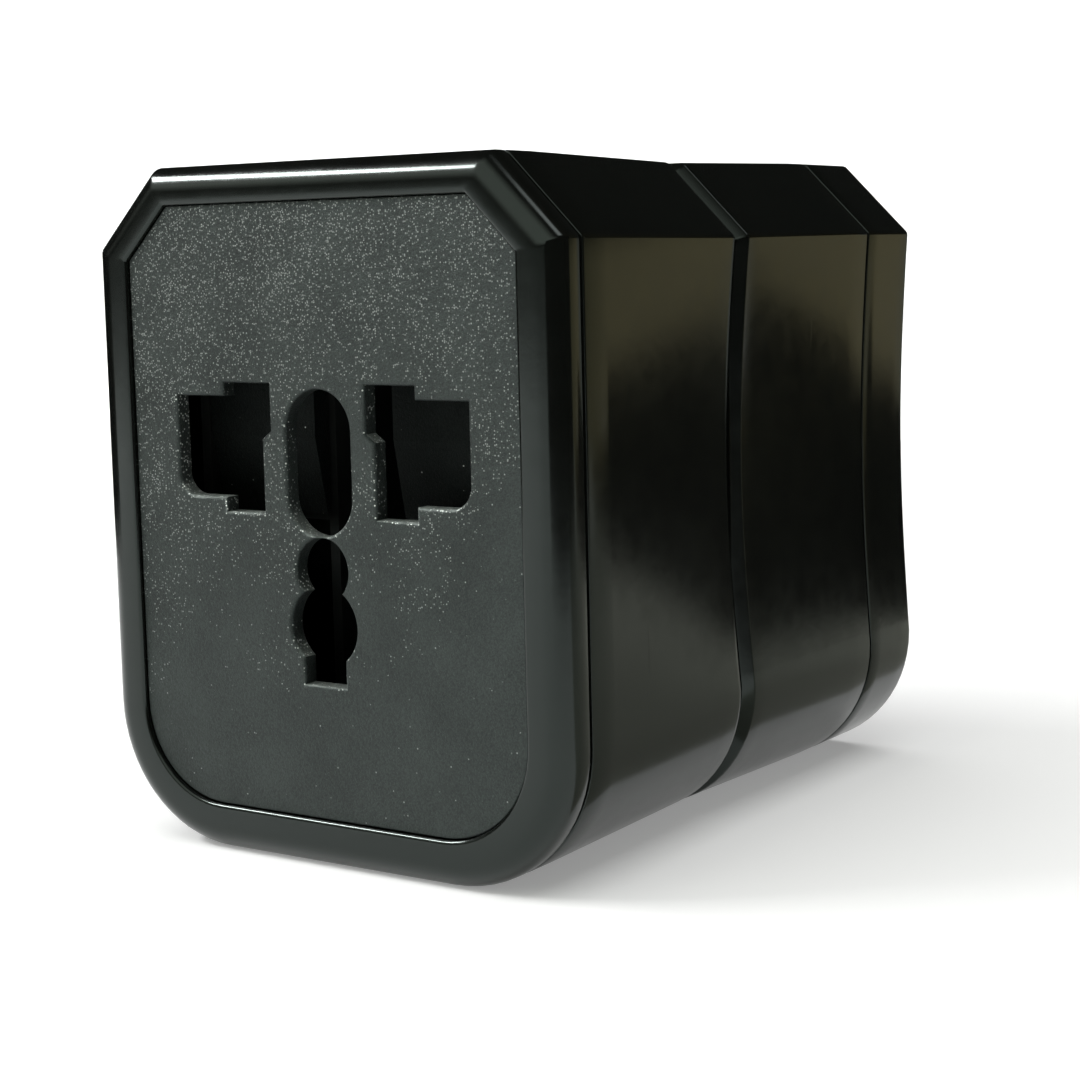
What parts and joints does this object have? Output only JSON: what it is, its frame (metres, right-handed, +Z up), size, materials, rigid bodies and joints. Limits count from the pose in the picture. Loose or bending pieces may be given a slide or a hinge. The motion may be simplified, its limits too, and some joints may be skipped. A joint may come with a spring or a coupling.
{
  "type": "universal travel adapter",
  "caption": "Black two-module travel adapter: universal socket face, twisting flat blades at the joint, and sliding flat and round plug pins at the back.",
  "frame": {"origin": "centre of the box's footprint, on the surface that the adapter stands on", "axes": "+Z up; the socket face looks along -Y and the plug pins come out along +Y; +X is the right side seen from the socket face"},
  "size_m": [0.058, 0.075, 0.07],
  "materials": {
    "gloss_black": "glossy moulded black with fine scratches",
    "textured_black": "spark-textured dark grey-black",
    "matte_black": "plain satin black moulding",
    "brass": "bright stamped brass",
    "nickel": "nickel-plated",
    "steel": "zinc-plated steel",
    "ceramic": "white ceramic tube"
  },
  "bodies": {
    "socket_module": {"front_bezel": "gloss_black", "face_plate": "textured_black", "front_body": "gloss_black", "contact_carrier": "matte_black", "blade_retainer": "matte_black", "fuse_tube": "ceramic", "fuse_cap_left": "nickel", "fuse_cap_right": "nickel", "fuse_clip_left": "brass", "fuse_clip_right": "brass", "socket_contact_left": "brass", "socket_contact_right": "brass", "retainer_screw_left": "steel", "retainer_screw_right": "steel", "shutter_spring_left": "steel", "shutter_spring_right": "steel", "front_screw_1": "steel", "front_screw_2": "steel", "front_screw_3": "steel", "front_screw_4": "steel"},
    "shutter_plate": {"shutter": "matte_black"},
    "blade_pin_left": {"blade_left": "nickel", "turret_left": "matte_black"},
    "blade_pin_right": {"blade_right": "nickel", "turret_right": "matte_black"},
    "plug_module": {"rear_body": "gloss_black", "guide_rod_lower": "steel", "guide_rod_upper": "steel", "well_plate": "matte_black", "rear_cover": "gloss_black", "current_strip_left": "brass", "current_strip_right": "brass", "rear_screw_1": "steel", "rear_screw_2": "steel", "rear_screw_3": "steel", "rear_screw_4": "steel"},
    "uk_pin_set": {"uk_carriage": "matte_black", "uk_earth_pin": "matte_black", "uk_slider": "matte_black", "uk_pin_left": "brass", "uk_pin_right": "brass"},
    "eu_pin_set": {"eu_carriage": "matte_black", "eu_slider": "matte_black", "eu_pin_left": "nickel", "eu_pin_right": "nickel"}
  },
  "joints": [
    {"name": "shutter_lift", "type": "slide", "parent": "socket_module", "child": "shutter_plate", "axis": [0, 0, 1], "range_m": [0, 0.008], "stiffness_N_per_m": 60, "springref_m": -0.004, "deforming": ["shutter_spring_left", "shutter_spring_right"]},
    {"name": "blade_left_twist", "type": "hinge", "parent": "socket_module", "child": "blade_pin_left", "pos_m": [-0.00635, -0.0045, 0.056], "axis": [0, 1, 0], "range_deg": [0, 30]},
    {"name": "blade_right_twist", "type": "hinge", "parent": "socket_module", "child": "blade_pin_right", "pos_m": [0.00635, -0.0045, 0.056], "axis": [0, 1, 0], "range_deg": [-30, 0]},
    {"name": "module_separation", "type": "slide", "parent": "socket_module", "child": "plug_module", "axis": [0, 1, 0], "range_m": [0, 0.03]},
    {"name": "uk_pin_slide", "type": "slide", "parent": "plug_module", "child": "uk_pin_set", "axis": [0, 1, 0], "range_m": [0, 0.023]},
    {"name": "eu_pin_slide", "type": "slide", "parent": "plug_module", "child": "eu_pin_set", "axis": [0, 1, 0], "range_m": [0, 0.0195]}
  ]
}
